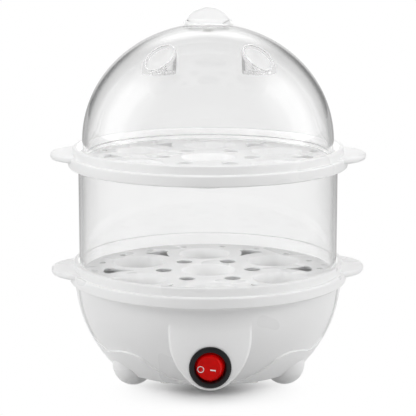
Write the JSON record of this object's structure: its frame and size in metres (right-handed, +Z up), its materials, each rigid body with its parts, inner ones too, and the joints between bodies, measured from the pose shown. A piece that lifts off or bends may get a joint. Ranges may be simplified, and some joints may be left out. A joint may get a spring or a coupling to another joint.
{
  "type": "two-tier egg cooker",
  "caption": "Electric egg cooker with a round switch base, stacked egg trays, a clear ring between them and a clear domed lid.",
  "frame": {"origin": "on the table, under the middle of the base; the carrying ears and the skirts are symmetrical about it", "axes": "+Z up through the lid's knob, -Y towards the switch, +X towards the right-hand ears"},
  "size_m": [0.181, 0.16, 0.2124],
  "materials": {
    "white_plastic": "smooth satin-gloss moulding",
    "clear_plastic": "clear, polished",
    "black_plastic": "satin black moulding",
    "red_rocker": "see-through red, printed marks",
    "black_rubber": "matt moulded rubber",
    "silicone": "translucent white silicone",
    "steel": "brushed stainless sheet",
    "zinc_screw": "bright zinc plating",
    "aluminium": "as cast",
    "brass": "stamped, tin-washed",
    "lamp_glass": "clear glass bulb",
    "thermostat_can": "phenolic case",
    "glass_sleeve": "woven glass fibre",
    "terminal_nylon": "natural nylon",
    "lead_brown": "PVC insulation",
    "lead_blue": "PVC insulation",
    "lead_green_yellow": "PVC insulation",
    "lead_white": "heat-resistant insulation"
  },
  "bodies": {
    "base": {"base_housing": "white_plastic", "basin_screws": "zinc_screw", "bottom_cover": "white_plastic", "bottom_cover_screws": "zinc_screw", "clamp_ring": "steel", "cord_clamp": "white_plastic", "cord_clamp_screws": "zinc_screw", "cord_grommet": "black_rubber", "element_strap": "steel", "element_tabs": "brass", "fuse_clip": "steel", "fuse_sleeve": "glass_sleeve", "heating_element": "aluminium", "heating_plate": "steel", "lead_earth": "lead_green_yellow", "lead_lamp": "lead_blue", "lead_live": "lead_brown", "lead_neutral": "lead_blue", "lead_switched": "lead_white", "lead_to_element": "lead_white", "lead_to_fuse": "lead_white", "neon_lamp": "lamp_glass", "plate_gasket": "silicone", "plate_studs": "steel", "stud_nuts": "zinc_screw", "switch_body": "black_plastic", "switch_contact": "brass", "switch_tabs": "brass", "terminal_block": "terminal_nylon", "terminal_screws": "brass", "thermal_fuse": "aluminium", "thermostat": "thermostat_can", "thermostat_tabs": "brass", "water_basin": "white_plastic"},
    "lower_tray": {"lower_egg_tray": "white_plastic"},
    "ring": {"steamer_ring": "clear_plastic"},
    "upper_tray": {"upper_egg_tray": "white_plastic"},
    "lid": {"dome_cover": "clear_plastic", "lid_knob": "white_plastic", "knob_screw": "zinc_screw", "knob_washer": "silicone"},
    "rocker": {"switch_rocker": "red_rocker"}
  },
  "joints": [
    {"name": "lower_tray_lift", "type": "slide", "parent": "base", "child": "lower_tray", "axis": [0, 0, 1], "range_m": [0, 0.06]},
    {"name": "ring_lift", "type": "slide", "parent": "lower_tray", "child": "ring", "axis": [0, 0, 1], "range_m": [0, 0.06]},
    {"name": "upper_tray_lift", "type": "slide", "parent": "ring", "child": "upper_tray", "axis": [0, 0, 1], "range_m": [0, 0.06]},
    {"name": "lid_lift", "type": "slide", "parent": "upper_tray", "child": "lid", "axis": [0, 0, 1], "range_m": [0, 0.1]},
    {"name": "rocker_tilt", "type": "hinge", "parent": "base", "child": "rocker", "pos_m": [0, -0.07314, 0.0226], "axis": [0, 0, 1], "range_deg": [0, 22]}
  ]
}
